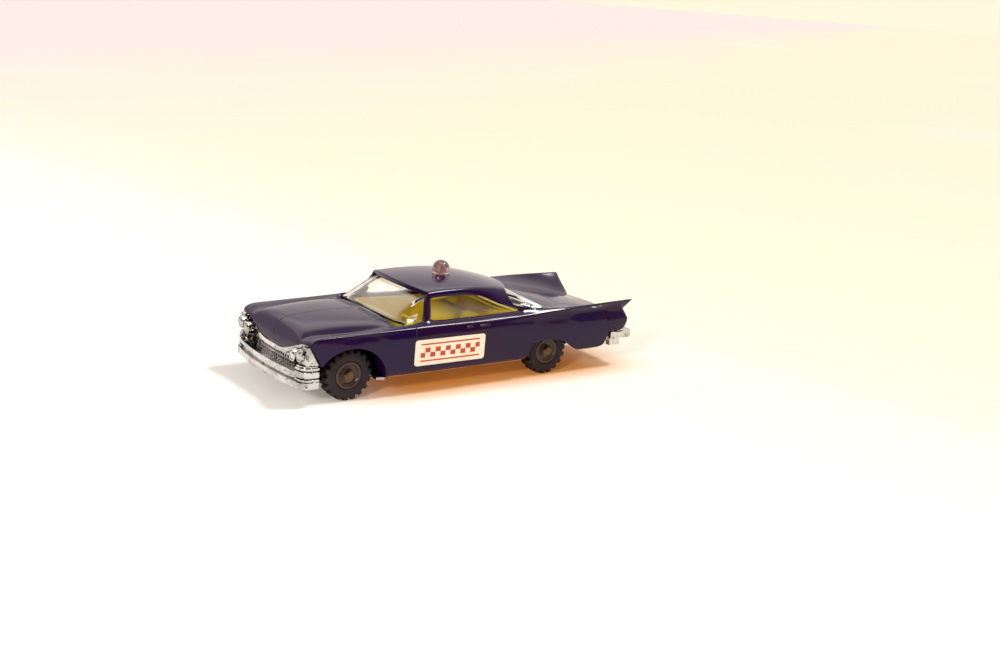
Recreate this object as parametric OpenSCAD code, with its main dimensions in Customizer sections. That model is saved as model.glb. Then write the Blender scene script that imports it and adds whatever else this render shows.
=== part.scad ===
// Pocket-size die-cast toy police car: a finned two-door hardtop.
// Frame: +X forward, +Y to the car's left, +Z up, origin on the ground under the middle.
// Lengths are millimetres. A table that ends in share or shares is in parts of the named sizes.

/* [Body] */
// Distance from the front axle to the tip of the front bumper
front_overhang = 10.4; // [10:0.1:11]
// Distance from the rear axle to the tip of the rear bumper
rear_overhang = 19.8; // [19:0.1:21]
// Width of the body at the doors
body_w = 26; // [23:0.5:29]
// Height of the roof above the ground
roof_h = 17.5; // [16:0.25:19]
// Height of the belt line above the ground
belt_h = 12.3; // [11.5:0.1:12.8]
// Width of the roof between its edges
roof_w = 17.6; // [15:0.2:19]
// Wall of the casting
body_wall = 1; // [0.8:0.05:1.2]
// Wall of the roof and pillars
roof_wall = 0.8; // [0.6:0.05:1]
// Height of the sill's lower edge above the ground
sill_z = 3.6; // [3:0.1:4]

/* [Wheels] */
// Distance between the axles
wheelbase = 41; // [38:0.5:44]
// Radius of a tyre over its tread
tyre_r = 4.35; // [4:0.05:4.6]
// Width of a tyre
tyre_w = 3; // [2.4:0.1:3.2]
// Set of a tyre's outer face in from the side of the body
wheel_inset = 1.6; // [1.5:0.1:2.2]
// Radius of a hub where the tyre sits on it
hub_r = 2.45; // [2.2:0.05:2.8]
// Radius of an axle wire
axle_r = 0.7; // [0.5:0.05:0.9]
// Radial clearance of the axle in its bores
axle_play = 0.05; // [0.02:0.01:0.09]
// Lugs round the tread of a tyre
tread_lugs = 18; // [12:1:24]

/* [Base] */
// Thickness of the base's floor
floor_t = 0.8; // [0.6:0.05:1]
// Gap between a tyre and the floor beside it
wheel_gap = 0.8; // [0.6:0.1:1.2]

/* [Glass and interior] */
// Thickness of the glazing
glass_t = 0.6; // [0.4:0.05:0.8]
// Gap between the glazing and the casting
glass_gap = 0.06; // [0.03:0.01:0.1]
// Thickness of the interior's walls
tub_wall = 0.8; // [0.6:0.05:1]

/* [Labels] */
// Length of a door label
label_w = 14.2; // [10:0.1:15]
// Height of a door label
label_h = 4.5; // [3.5:0.1:4.6]
// Thickness of a door label
label_t = 0.12; // [0.08:0.01:0.2]

/* [Fixings] */
// Front post ahead of the front axle
front_post_set = 4; // [3.5:0.1:4.3]
// Rear post behind the rear axle
rear_post_set = 10.2; // [8:0.1:12]
// Radius of a post
post_r = 1.4; // [1.2:0.05:1.8]
// Radius of a rivet's shank
rivet_r = 0.7; // [0.5:0.05:0.9]
// Depth of a rivet in its post
rivet_depth = 3; // [2:0.1:4]

/* [Roof lamp] */
// Place of the lamp along the roof
lamp_x = 1; // [-2:0.1:4]
// Radius of the lamp's dome
lamp_r = 1.55; // [1.2:0.05:2]
// Height of the lamp above the roof
lamp_h = 2.4; // [2:0.1:3]
// Radius of the lamp's peg
lamp_peg_r = 0.6; // [0.4:0.05:0.8]

/* [Hidden] */
CORNERS = ["front_left", "front_right", "rear_left", "rear_right"];

length = front_overhang + wheelbase + rear_overhang;
half_len = length / 2;
half_w = body_w / 2;
front_axle_x = half_len - front_overhang;
rear_axle_x = rear_overhang - half_len;
track = body_w - 2 * wheel_inset;
waist = track / 2 - tyre_w - wheel_gap;
axle_z = tyre_r;
wheel_room = 0.6;

// Places along the body are shares: 1 at the front tip, -1 at the rear tip, two more at the axles
axle_shares = [-0.4514, 0.72];
function place(s) =
    lookup(s, [[-1, -half_len], [axle_shares[0], rear_axle_x],
        [axle_shares[1], front_axle_x], [1, half_len]]);
function share_at(x) =
    lookup(x, [[-half_len, -1], [rear_axle_x, axle_shares[0]],
        [front_axle_x, axle_shares[1]], [half_len, 1]]);

// Lines along the body, nose to tail: x as a place, y in half widths, z in belt heights
hood_shares = [[0.88, 0.988], [0.767, 1.016], [0.65, 1.027], [0.54, 1.022], [0.44, 1.002]];
hood_edge_shares = [[0.88, 0.62], [0.65, 0.69], [0.44, 0.71]];
hood_valley_shares = [[0.88, 0.89], [0.65, 0.915], [0.44, 0.965]];
deck_shares = [[-0.36, 1], [-0.566, 0.97], [-0.76, 0.89], [-0.896, 0.812], [-0.983, 0.765]];
deck_edge_shares = [[-0.36, 0.64], [-0.566, 0.63], [-0.76, 0.59], [-0.983, 0.54]];
belt_shares = [[0.88, 0.93, 0.935], [0.6, 0.92, 0.955], [0.43, 0.89, 0.985], [0.3, 0.88, 1],
    [0, 0.88, 1.005], [-0.27, 0.88, 1.025], [-0.36, 0.905, 1.03], [-0.499, 0.95, 1.03],
    [-0.692, 0.955, 1.037], [-0.848, 0.925, 1.04], [-0.983, 0.895, 1.04]];
crease_shares = [[0.88, 0.965, 0.923], [0.6, 0.97, 0.94], [0.3, 0.972, 0.94], [0, 0.975, 0.937],
    [-0.3, 0.978, 0.96], [-0.499, 0.985, 1], [-0.692, 0.975, 1.02], [-0.848, 0.942, 1.026],
    [-0.983, 0.908, 1.026]];
under_shares = [[0.88, 0.975, 0.87], [0.3, 0.98, 0.88], [0, 0.985, 0.88], [-0.3, 0.975, 0.9],
    [-0.499, 0.95, 0.92], [-0.692, 0.915, 0.925], [-0.848, 0.888, 0.925], [-0.935, 0.877, 0.915]];
wide_shares = [[0.88, 0.985, 0.79], [0.42, 1, 0.8], [-0.1, 1, 0.8], [-0.499, 0.995, 0.785],
    [-0.692, 0.975, 0.765], [-0.886, 0.945, 0.75], [-0.964, 0.93, 0.75]];

function first_below(table, x, i = 0) =
    (i >= len(table) - 2 || x >= table[i + 1][0]) ? i : first_below(table, x, i + 1);
function table_slope(table, i, c) =
    let (a = table[max(i - 1, 0)], m = table[i], b = table[min(i + 1, len(table) - 1)])
    (i > 0 && i < len(table) - 1 && (b[c] - m[c]) * (m[c] - a[c]) <= 0) ? 0 : (b[c] - a[c]) / (b[0] - a[0]);
// Smooth value of column c of a table at x, held at its ends
function curve(table, x, c = 1) =
    let (i = first_below(table, x),
         a = table[i],
         b = table[i + 1],
         run = b[0] - a[0],
         t = min(max((x - a[0]) / run, 0), 1))
    a[c] * (1 + t * t * (2 * t - 3)) + b[c] * t * t * (3 - 2 * t)
    + run * (table_slope(table, i, c) * t * (t - 1) * (t - 1)
             + table_slope(table, i + 1, c) * t * t * (t - 1));
function blend(a, b, t) = a + (b - a) * t;
function smooth(t) = let (s = min(max(t, 0), 1)) s * s * (3 - 2 * s);

function hood_z(x) = belt_h * curve(hood_shares, share_at(x));
function deck_z(x) = belt_h * curve(deck_shares, share_at(x));
function line_y(table, x) = half_w * curve(table, share_at(x), 1);
function line_z(table, x) = belt_h * curve(table, share_at(x), 2);

// Posts, rivets and roof lamp
front_post_x = front_axle_x + front_post_set;
rear_post_x = rear_axle_x - rear_post_set;
post_xs = [front_post_x, rear_post_x];
function post_top(x) = (x > 0 ? hood_z(x) : deck_z(x)) - body_wall / 2;
overrun = 0.5;

// Small forms of the casting
flank_in = 0.1;
sill_in = 0.25;
sill_tuck = 0.8;
sill_rise = 0.65;
flank_z_share = 0.42;
hood_drop = 0.62;
hood_step = 1.1;
cowl_sweep = 1.2;
deck_bow = 1.5;
deck_crown = 0.3;
roof_lip = 0.35;
// The roof's crown and the rails over the side windows follow the height of the cabin over the belt
cabin_h = roof_h - belt_h;
roof_crown_share = 11 / 104;
rail_share = 11 / 52;
rail_rear_share = 4 / 13;
roof_crown = cabin_h * roof_crown_share;
rail_h = cabin_h * rail_share;
rail_rear_h = cabin_h * rail_rear_share;
edge_round = 0.3;

// Places along the body: feet of the pillars and edges of the cabin, in half lengths
cowl_share = 0.463;
windscreen_side_share = 0.386;
a_front_share = 0.32;
a_rear_share = 0.286;
c_front_share = -0.266;
roof_front_share = 0.306;
roof_rear_share = -0.3;
roof_corner_front_share = 0.272;
roof_corner_rear_share = -0.197;
// Roof line along the middle: x in half lengths, z in roof heights
roof_shares = [[0.306, 0.977], [0.23, 0.992], [0.085, 1], [-0.057, 0.992], [-0.17, 0.963], [-0.3, 0.906]];

// Front wheel arch: an ellipse that stands on the sill line
arch_lead = 0.3;
arch_rx = 6.6;
arch_ry = 5.1;
arch_top = axle_z + arch_ry;
arch_angles = [34, 52, 70, 88, 106, 124, 140, 156, 170, 180];
arch_x = front_axle_x + arch_lead;
// Rear wheel arch: x from the rear axle in tyre radii, z in tyre diameters
rear_arch_shares = [[1.27, 0.425], [1.175, 0.6], [1.08, 0.75], [0.83, 0.8], [0.2, 0.806], [-0.32, 0.778],
    [-0.71, 0.714], [-1.01, 0.616], [-1.31, 0.507], [-1.5, 0.49]];
// Lower edge of the tail: x in half lengths, z in belt heights
tail_shares = [[-0.707, 0.345], [-0.77, 0.346], [-0.797, 0.365], [-0.811, 0.42], [-0.818, 0.5],
    [-0.831, 0.57], [-0.872, 0.572], [-0.909, 0.573]];

cabin_shares = [a_front_share, a_rear_share, 0.186, 0.086, -0.014, -0.114, -0.206, c_front_share];
// Every station along the body: place and height of its lower edge
stations = concat(
    [for (a = arch_angles) [arch_x + arch_rx * cos(a), sill_z + (arch_top - sill_z) * sin(a)]],
    [for (s = concat([0.49, cowl_share, windscreen_side_share], cabin_shares)) [place(s), sill_z]],
    [for (s = rear_arch_shares) [rear_axle_x + s[0] * tyre_r, s[1] * 2 * tyre_r]],
    [for (s = tail_shares) [place(s[0]), s[1] * belt_h]]);
nose_steps = 4;
tail_steps = 4;
station_count = nose_steps + len(stations) + tail_steps;
cowl_i = nose_steps + len(arch_angles) + 1;
a_front_i = cowl_i + 2;
c_front_i = a_front_i + len(cabin_shares) - 1;
c_rear_i = c_front_i + 4;
deck_i = c_rear_i + 1;
tail_i = nose_steps + len(stations);
belt_row = 9;
last_row = 16;

// Side of the body from the crease down to the sill's lower edge, as y and z
function side_line(x) =
    let (w = line_y(wide_shares, x), zw = line_z(wide_shares, x), zf = flank_z_share * belt_h)
    [[line_y(crease_shares, x), line_z(crease_shares, x)],
     [line_y(under_shares, x), line_z(under_shares, x)],
     [w, zw],
     [w - flank_in / 2, blend(zw, zf, 0.5)],
     [w - flank_in, zf],
     [w - sill_in, sill_z + sill_rise],
     [w - sill_tuck, sill_z]];
function side_seek(line, z, k = 0) =
    (k >= len(line) - 2 || z >= line[k + 1][1]) ? k : side_seek(line, z, k + 1);
function side_y(line, z) =
    let (k = side_seek(line, z), a = line[k], b = line[k + 1])
    blend(b[0], a[0], (z - b[1]) / (a[1] - b[1]));
function side_rows(x, foot) =
    let (line = side_line(x), top = line[0][1], k = (top - foot) / (top - sill_z))
    [for (p = line) let (z = foot + (p[1] - sill_z) * k) [x, side_y(line, z), z]];

// Top of the body from the middle out to the belt row
function hood_rows(x) =
    let (e = half_w * curve(hood_edge_shares, share_at(x)),
         z = hood_z(x),
         v = belt_h * curve(hood_valley_shares, share_at(x)),
         b = [line_y(belt_shares, x), line_z(belt_shares, x)],
         back = -cowl_sweep * smooth((place(cowl_share) - x) / hood_step + 1))
    concat(
        [for (s = [[0, 0], [0.4, 0.12], [0.75, 0.42], [1, 1]]) [x, e * s[0], z - hood_drop * s[1]]],
        [[x, e + hood_step / 2, blend(z - hood_drop, v, 0.6)]],
        [for (t = [0 : 0.25 : 1]) [x + back * t, blend(e + hood_step, b[0], t), blend(v, b[1], smooth(t))]]);
function deck_rows(x) =
    let (e = half_w * curve(deck_edge_shares, share_at(x)),
         z = deck_z(x),
         b = [line_y(belt_shares, x), line_z(belt_shares, x)],
         fade = 1 - smooth((stations[deck_i - nose_steps][0] - x) / (4 * deck_bow)))
    concat(
        [for (s = [0, 0.35, 0.7, 0.9, 1])
            [x - deck_bow * fade * (1 - s * s / 2), e * s, z - deck_crown * s * s]],
        [for (t = [0.12, 0.34, 0.56, 0.78, 1])
            [x - deck_bow * fade * (1 - t) / 2,
             blend(e, b[0], t),
             blend(z - deck_crown, b[1], pow(t, 1.3))]]);
function roof_z(x) = roof_h * curve(roof_shares, share_at(x));
function roof_x(u, s) =
    place(blend(blend(roof_front_share, roof_corner_front_share, s * s),
                blend(roof_rear_share, roof_corner_rear_share, s * s), u));
function roof_rows(x) =
    let (front = place(a_front_share),
         u = (front - x) / (front - stations[c_rear_i - nose_steps][0]),
         half = roof_w / 2,
         xe = roof_x(u, 1),
         ze = roof_z(xe) - roof_crown,
         drop = rail_rear_h * smooth((u - 0.5) / 0.4),
         zw = ze - rail_h - drop,
         b = [line_y(belt_shares, x), line_z(belt_shares, x)],
         lip = half + roof_lip + edge_round / 2,
         yw = blend(lip, b[0], drop / (ze - rail_h - b[1])))
    concat(
        [for (s = [0, 0.3, 0.6, 0.85, 1])
            let (xr = roof_x(u, s)) [xr, half * s, roof_z(xr) - roof_crown * s * s]],
        [[xe, half + roof_lip, ze - edge_round],
         [blend(xe, x, 0.06), blend(lip, yw, 0.5), blend(ze, zw, 0.6)],
         [blend(xe, x, 0.2), yw, zw],
         [blend(xe, x, 0.62), blend(yw, b[0], 0.55), blend(zw, b[1], 0.5)],
         [x, b[0], b[1]]]);

// Nose: the front stations roll over from the brow's edge up to the hood and fenders
nose_share = 0.949;
brow_corner_share = 0.93;
brow_foot_share = 0.881;
brow_low_share = 0.642;
brow_high_share = 0.83;
brow_foot_z_share = 0.57;
function brow_edge(j, y) =
    let (s = y / half_w, d = max(j - belt_row - 1, 0) / (last_row - belt_row - 1))
    [place(d > 0 ? blend(brow_corner_share, brow_foot_share, d)
                 : blend(nose_share, brow_corner_share, s * s)),
     y,
     belt_h * (d > 0 ? blend(brow_high_share, brow_foot_z_share, d)
                     : blend(brow_low_share, brow_high_share, smooth((s - 0.2) / 0.65)))];
function nose_rows(k) =
    let (base = section_rows(nose_steps), a = 90 * k / nose_steps)
    [for (j = [0 : last_row])
        let (e = brow_edge(j, base[j][1]))
        [blend(base[j][0], e[0], cos(a)), base[j][1], blend(e[2], base[j][2], sin(a))]];

// Tail: outline with the fin tips, then the tail panel down to its lower edge
tail_x_share = -0.964;
fin_set = 0.45;
notch_shares = [-0.925, 0.877, 0.915];
pod_shares = [[-0.956, 0.93, 0.75], [-0.954, 0.928, 0.69], [-0.947, 0.924, 0.64], [-0.938, 0.918, 0.6],
    [-0.928, 0.912, 0.576]];
tail_foot_shares = [[-0.942, 0, 0.574], [-0.942, 0.815, 0.575], [-0.93, 0.9, 0.576]];
tail_blends = [0, 0.08, 0.55, 1];
function share_point(s) = [place(s[0]), s[1] * half_w, s[2] * belt_h];
function tail_outline() =
    let (root = place(tail_x_share), d = deck_rows(root), tip = fin_set - half_len)
    concat(
        [for (j = [0 : belt_row]) [blend(root, tip, pow(min(j / 6, 1), 2)), d[j][1], d[j][2]]],
        [[tip + edge_round, line_y(crease_shares, tip), line_z(crease_shares, tip)],
         share_point(notch_shares)],
        [for (s = pod_shares) share_point(s)]);
function tail_foot(j) =
    let (a = share_point(tail_foot_shares[j > belt_row ? 1 : 0]),
         b = share_point(tail_foot_shares[j > belt_row ? 2 : 1]),
         t = j > belt_row ? (j - belt_row) / (last_row - belt_row) : j / belt_row)
    blend(a, b, t);
function tail_rows(k) =
    let (outline = tail_outline(), root = outline[5], notch = outline[11], t = tail_blends[k])
    [for (j = [0 : last_row])
        let (q = (k > 0 && j > 5 && j < 11) ? blend(root, notch, (j - 5) / 6) : outline[j])
        blend(q, tail_foot(j), t) - [edge_round * sin(180 * t), 0, 0]];

function section_rows(i) =
    i < nose_steps ? nose_rows(i)
    : i >= tail_i ? tail_rows(i - tail_i)
    : let (s = stations[i - nose_steps])
      concat(i <= cowl_i ? hood_rows(s[0]) : i < deck_i ? roof_rows(s[0]) : deck_rows(s[0]),
             side_rows(s[0], s[1]));

// Inside of the casting, one wall in from the outside
function inside_rows(i, p) =
    i >= tail_i ? inside_tail(i - tail_i, p)
    : let (a = i < nose_steps ? 90 * i / nose_steps : 90,
           w = body_wall,
           k = (p[10][1] - w) / p[10][1],
           top = i <= cowl_i ? [for (j = [0 : belt_row])
                   [p[j][0] - w * cos(a), p[j][1] * k, p[j][2] - w * sin(a)]]
               : i < deck_i ? inside_roof(p) : inside_deck(p),
           fin = i >= deck_i,
           mid = (p[11] + p[12]) / 2)
      concat(top,
          [fin ? p[11] - [0, w, 0] : p[10] - [w * cos(a) / 2, w, w / 2],
           fin ? mid - [0, w, 0] : p[11] - [0, w, 0]],
          [for (j = [12 : last_row]) p[j] - [0, w, 0]]);
function inside_roof(p) =
    concat(
        [for (j = [0 : 4]) [p[j][0], p[j][1] * (1 - roof_wall / roof_w), p[j][2] - roof_wall]],
        [p[5] - [0, roof_wall, roof_wall]],
        [for (j = [6 : 8]) p[j] - [0, roof_wall, 0]],
        [p[9] - [0, body_wall, body_wall / 4]]);
function inside_deck(p) =
    let (a = p[4] - [0, 0, body_wall], b = p[11] - [0, body_wall, 0])
    concat([for (j = [0 : 4]) p[j] - [0, 0, body_wall]], [for (j = [5 : belt_row]) blend(a, b, (j - 4) / 6)]);
function inside_tail(k, p) =
    let (last = inside_rows(tail_i - 1, section_rows(tail_i - 1)))
    [for (j = [0 : last_row])
        let (f = tail_foot(j), foot = [f[0] + body_wall, f[1] * (1 - body_wall / half_w), f[2]])
        blend(last[j] - [edge_round / 2, 0, 0], foot, k / (tail_steps - 1))];

// Which cells of the grid are metal: the rest are the windows
function is_metal(i, j) =
    j >= belt_row || i < cowl_i || i >= deck_i ? true
    : i < a_front_i || i >= c_rear_i ? false
    : i == a_front_i || i >= c_front_i ? true
    : j <= 6;

module body_skin() {
    half_out = [for (i = [0 : station_count - 1]) section_rows(i)];
    half_in = [for (i = [0 : station_count - 1]) inside_rows(i, half_out[i])];
    rows = 2 * last_row + 1;
    grid = station_count * rows;
    points = [for (side = [half_out, half_in], i = [0 : station_count - 1], j = [-last_row : last_row])
        let (p = side[i][abs(j)]) [p[0], j < 0 ? -p[1] : p[1], p[2]]];
    cells = [for (i = [0 : station_count - 2], j = [-last_row : last_row - 1])
        if (is_metal(i, min(abs(j), abs(j + 1)))) [i, j]];
    function at(i, j, side) = side * grid + i * rows + j + last_row;
    function metal(i, j) = i >= 0 && i < station_count - 1 && j >= -last_row && j < last_row
        && is_metal(i, min(abs(j), abs(j + 1)));
    function strip(a, b) = [[a, b + grid, b], [a, a + grid, b + grid]];
    faces = [for (c = cells)
        let (i = c[0], j = c[1],
             a = at(i, j, 0), b = at(i + 1, j, 0), d = at(i + 1, j + 1, 0), e = at(i, j + 1, 0))
        each concat(
            [[a, b, d], [a, d, e], [a + grid, d + grid, b + grid], [a + grid, e + grid, d + grid]],
            metal(i - 1, j) ? [] : strip(e, a),
            metal(i + 1, j) ? [] : strip(b, d),
            metal(i, j - 1) ? [] : strip(a, b),
            metal(i, j + 1) ? [] : strip(d, e))];
    polyhedron(points = points, faces = faces, convexity = 10);
}

// Rib across the casting behind the front wheels, from the hood down to the floor
rib_t = 0.8;
rib_set = 1.1;
rib_gap = 0.06;
module cross_rib() {
    x = arch_x - arch_rx - rib_set;
    half = [for (p = concat(hood_rows(x), side_rows(x, sill_z + rib_gap))) [p[1], p[2] - body_wall / 2]];
    outline = [for (p = half) [p[0] - min(p[0], body_wall / 2), max(p[1], sill_z + rib_gap)]];
    translate([x, 0, 0]) rotate([90, 0, 90]) linear_extrude(height = rib_t) polygon(mirrored_flat(outline));
}

// Posts inside the shell that the rivets hold, and the hole for the roof lamp's peg
module body_shell() {
    color("midnightblue") difference() {
        union() {
            body_skin();
            cross_rib();
            for (x = post_xs) translate([x, 0, post_foot(x)])
                cylinder(r = post_r, h = post_top(x) - post_foot(x), $fn = 48);
        }
        for (x = post_xs) translate([x, 0, post_foot(x) - overrun])
            cylinder(r = rivet_r, h = rivet_depth + overrun, $fn = 48);
        translate([lamp_x, 0, roof_z(lamp_x) - roof_wall - overrun])
            cylinder(r = lamp_peg_r, h = roof_wall + 2 * overrun, $fn = 48);
    }
}

// Closed skin between an outer and an inner grid of points that share one outline
module grid_skin(outer, inner) {
    rows = len(outer[0]);
    grid = len(outer) * rows;
    function at(i, j) = i * rows + j;
    function strip(a, b) = [[a, b + grid, b], [a, a + grid, b + grid]];
    faces = [for (i = [0 : len(outer) - 2], j = [0 : rows - 2])
        let (a = at(i, j), b = at(i + 1, j), d = at(i + 1, j + 1), e = at(i, j + 1))
        each concat(
            [[a, b, d], [a, d, e], [a + grid, d + grid, b + grid], [a + grid, e + grid, d + grid]],
            i > 0 ? [] : strip(e, a),
            i < len(outer) - 2 ? [] : strip(b, d),
            j > 0 ? [] : strip(a, b),
            j < rows - 2 ? [] : strip(d, e))];
    polyhedron(points = [for (side = [outer, inner], line = side) each line], faces = faces, convexity = 6);
}
function mirrored_flat(half) =
    concat(half, [for (k = [len(half) - 1 : -1 : 1]) [-half[k][0], half[k][1]]]);
function mirrored(half) =
    concat([for (j = [len(half) - 1 : -1 : 1]) [half[j][0], -half[j][1], half[j][2]]], half);

// Glazing: rises from the cowl to the roof, runs under it and falls to the deck
glass_foot_share = 0.915;
glass_row_shares = [0, 0.35, 0.7, 0.95];
glass_rise_shares = [0, 0.3, 0.65];
glass_roof_shares = [0, 0.1, 0.3, 0.5, 0.7, 0.85, 1];
glass_bow = 0.5;
glass_corner = 1;
glass_tuck = 0.45;
glass_sink = 0.35;
tuck_rise = 2;
glass_sweep_shares = [0.33, 0.75];
glass_foot_z = glass_foot_share * belt_h;
glass_front_x = place(cowl_share) - 2 * glass_gap;
glass_rear_x = stations[deck_i - nose_steps][0] - deck_bow + 2 * glass_gap;
glass_a_x = place(a_front_share);
glass_c_x = stations[c_rear_i - nose_steps][0];
function glass_y(x) = line_y(belt_shares, x) - body_wall - 2 * glass_gap;
function glass_belt(x) = [x, glass_y(x), line_z(belt_shares, x) - body_wall / 4];
// One line of the glazing: four rows over the top, then the corner, the side, the belt and the foot
function glass_line(top, corner, belt) =
    let (tuck = glass_tuck * smooth((corner[2] - belt[2]) / tuck_rise),
         mid = blend(corner, belt, 0.5) - [0, tuck, 0])
    concat(top, [corner, mid, belt, [belt[0], belt[1], glass_foot_z]]);
function glass_under_roof(u) =
    let (half = roof_w / 2, xe = roof_x(u, 1))
    glass_line(
        [for (s = glass_row_shares)
            let (x = roof_x(u, s), z = roof_z(x) - roof_crown * s * s)
            [x, half * s, z - roof_wall - 2 * glass_gap]],
        [xe, half - roof_wall / 2 - glass_tuck, roof_z(xe) - roof_crown - roof_wall - edge_round],
        glass_belt(blend(glass_a_x, glass_c_x, u)));
// The foot of the windscreen or of the rear window
function glass_base(front) =
    let (x = front ? glass_front_x : glass_rear_x,
         back = front ? -glass_corner : deck_bow,
         sweep = glass_sweep_shares[front ? 0 : 1],
         b = glass_belt(x + back),
         z = (front ? hood_z(x) : deck_z(x)) - glass_sink)
    glass_line(
        [for (s = glass_row_shares)
            [x + back * sweep * s * s, s * (b[1] - glass_corner), blend(z, b[2], s * s)]],
        [x + back * (1 + sweep) / 2, b[1] - glass_corner / 2, b[2]], b);
function glass_rise(front, t) =
    let (base = glass_base(front),
         top = glass_under_roof(front ? 0 : 1),
         lean = (front ? 1 : -1) * glass_bow * sin(180 * t))
    glass_line(
        [for (j = [0 : 3]) blend(base[j], top[j], t) + [lean, 0, glass_bow * sin(180 * t) / 2]],
        blend(base[4], top[4], t),
        glass_belt(blend(base[6][0], top[6][0], t)));
module window_unit() {
    half = concat(
        [for (t = glass_rise_shares) glass_rise(true, t)],
        [for (u = glass_roof_shares) glass_under_roof(u)],
        [for (k = [len(glass_rise_shares) - 1 : -1 : 0]) glass_rise(false, glass_rise_shares[k])]);
    outer = [for (line = half) mirrored(line)];
    high = roof_h - roof_wall - glass_foot_z;
    shrink = [1 - glass_t / glass_front_x, 1 - glass_t / glass_y(0), 1 - glass_t / high];
    inner = [for (line = outer) [for (p = line)
        [p[0] * shrink[0], p[1] * shrink[1], glass_foot_z + (p[2] - glass_foot_z) * shrink[2]]]];
    color("whitesmoke", 0.4) grid_skin(outer, inner);
}

// Interior: a tub with door panels, two benches, a dash and a steering wheel in one moulding
tub_gap = 0.2;
tub_half = glass_y(0) - glass_t - tub_gap;
tub_front_x = glass_front_x - 2 * glass_corner;
tub_rear_x = rear_axle_x + tyre_r + wheel_room;
tub_floor_z = sill_z;
tub_top_z = glass_foot_z + tub_gap;
tub_depth = tub_top_z - tub_floor_z;
ledge_in = 1.2;
ledge_half = glass_y(0) - glass_gap;
bench_run = 5.4;
bench_gap = 1.2;
bench_top_share = 0.97;
// Side view of a bench: x in bench runs from its heel, z in tub depths
bench_shares = [[0, 0], [0, 0.34], [0.06, 0.41], [0.16, 0.44], [0.55, 0.4], [0.66, 0.43], [0.78, 0.86],
    [0.84, 0.96], [0.93, 1], [1.02, 0.97], [1.04, 0.9], [1, 0]];
dash_shares = [[0, 0.5], [0, 0.82], [0.12, 0.92], [0.35, 0.98], [1, 0.98], [1, 0.5]];
dash_run = 2.6;
wheel_rim_r = 1.5;
wheel_wire_r = 0.22;
wheel_side_share = 0.47;
wheel_height_share = 0.86;
wheel_tilt = 60;
module across(half) {
    rotate([90, 0, 0]) linear_extrude(height = 2 * half, center = true) children();
}
module bench(heel_x) {
    translate([heel_x, 0, tub_floor_z]) across(tub_half - tub_wall / 2)
        polygon([for (s = bench_shares) [-s[0] * bench_run, s[1] * tub_depth * bench_top_share]]);
}
module steering_wheel() {
    reach = dash_run;
    side = tub_half * wheel_side_share;
    high = tub_floor_z + tub_depth * wheel_height_share;
    translate([tub_front_x - dash_run - reach / 2, side, high])
        rotate([0, -wheel_tilt, 0]) {
            rotate_extrude($fn = 40) translate([wheel_rim_r, 0]) circle(r = wheel_wire_r, $fn = 16);
            rotate([90, 0, 0]) cylinder(r = wheel_wire_r, h = 2 * wheel_rim_r, center = true, $fn = 16);
            translate([0, 0, -reach]) cylinder(r = 2 * wheel_wire_r, h = reach + wheel_wire_r, $fn = 16);
        }
}
module interior() {
    span = tub_front_x - tub_rear_x;
    color("gold") union() {
        difference() {
            union() {
                translate([tub_rear_x, -tub_half, tub_floor_z]) cube([span, 2 * tub_half, tub_depth]);
                translate([tub_rear_x + ledge_in, -ledge_half, glass_foot_z - tub_wall])
                    cube([span - 2 * ledge_in, 2 * ledge_half, tub_wall]);
            }
            translate([tub_rear_x + tub_wall, tub_wall - tub_half, tub_floor_z + tub_wall])
                cube([span - 2 * tub_wall, 2 * (tub_half - tub_wall), tub_depth]);
        }
        bench(tub_rear_x + tub_wall / 2 + bench_run);
        bench(tub_rear_x + tub_wall + 2 * bench_run + bench_gap);
        translate([tub_front_x - tub_wall / 2, 0, tub_floor_z]) across(tub_half - tub_wall / 2)
            polygon([for (s = dash_shares) [(s[0] - 1) * dash_run, s[1] * tub_depth]]);
        steering_wheel();
    }
}

// Roof lamp: a dome on a short peg
lamp_fit = 0.02;
lamp_dome_share = 0.6;
module roof_lamp() {
    straight = lamp_h * (1 - lamp_dome_share);
    color("rosybrown", 0.8) translate([lamp_x, 0, roof_h]) {
        rotate_extrude($fn = 48)
            polygon(concat([[0, 0], [lamp_r, 0]],
                [for (a = [0 : 10 : 90]) [lamp_r * cos(a), straight + lamp_h * lamp_dome_share * sin(a)]]));
        translate([0, 0, -roof_wall]) cylinder(r = lamp_peg_r - lamp_fit, h = roof_wall, $fn = 48);
    }
}

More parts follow.
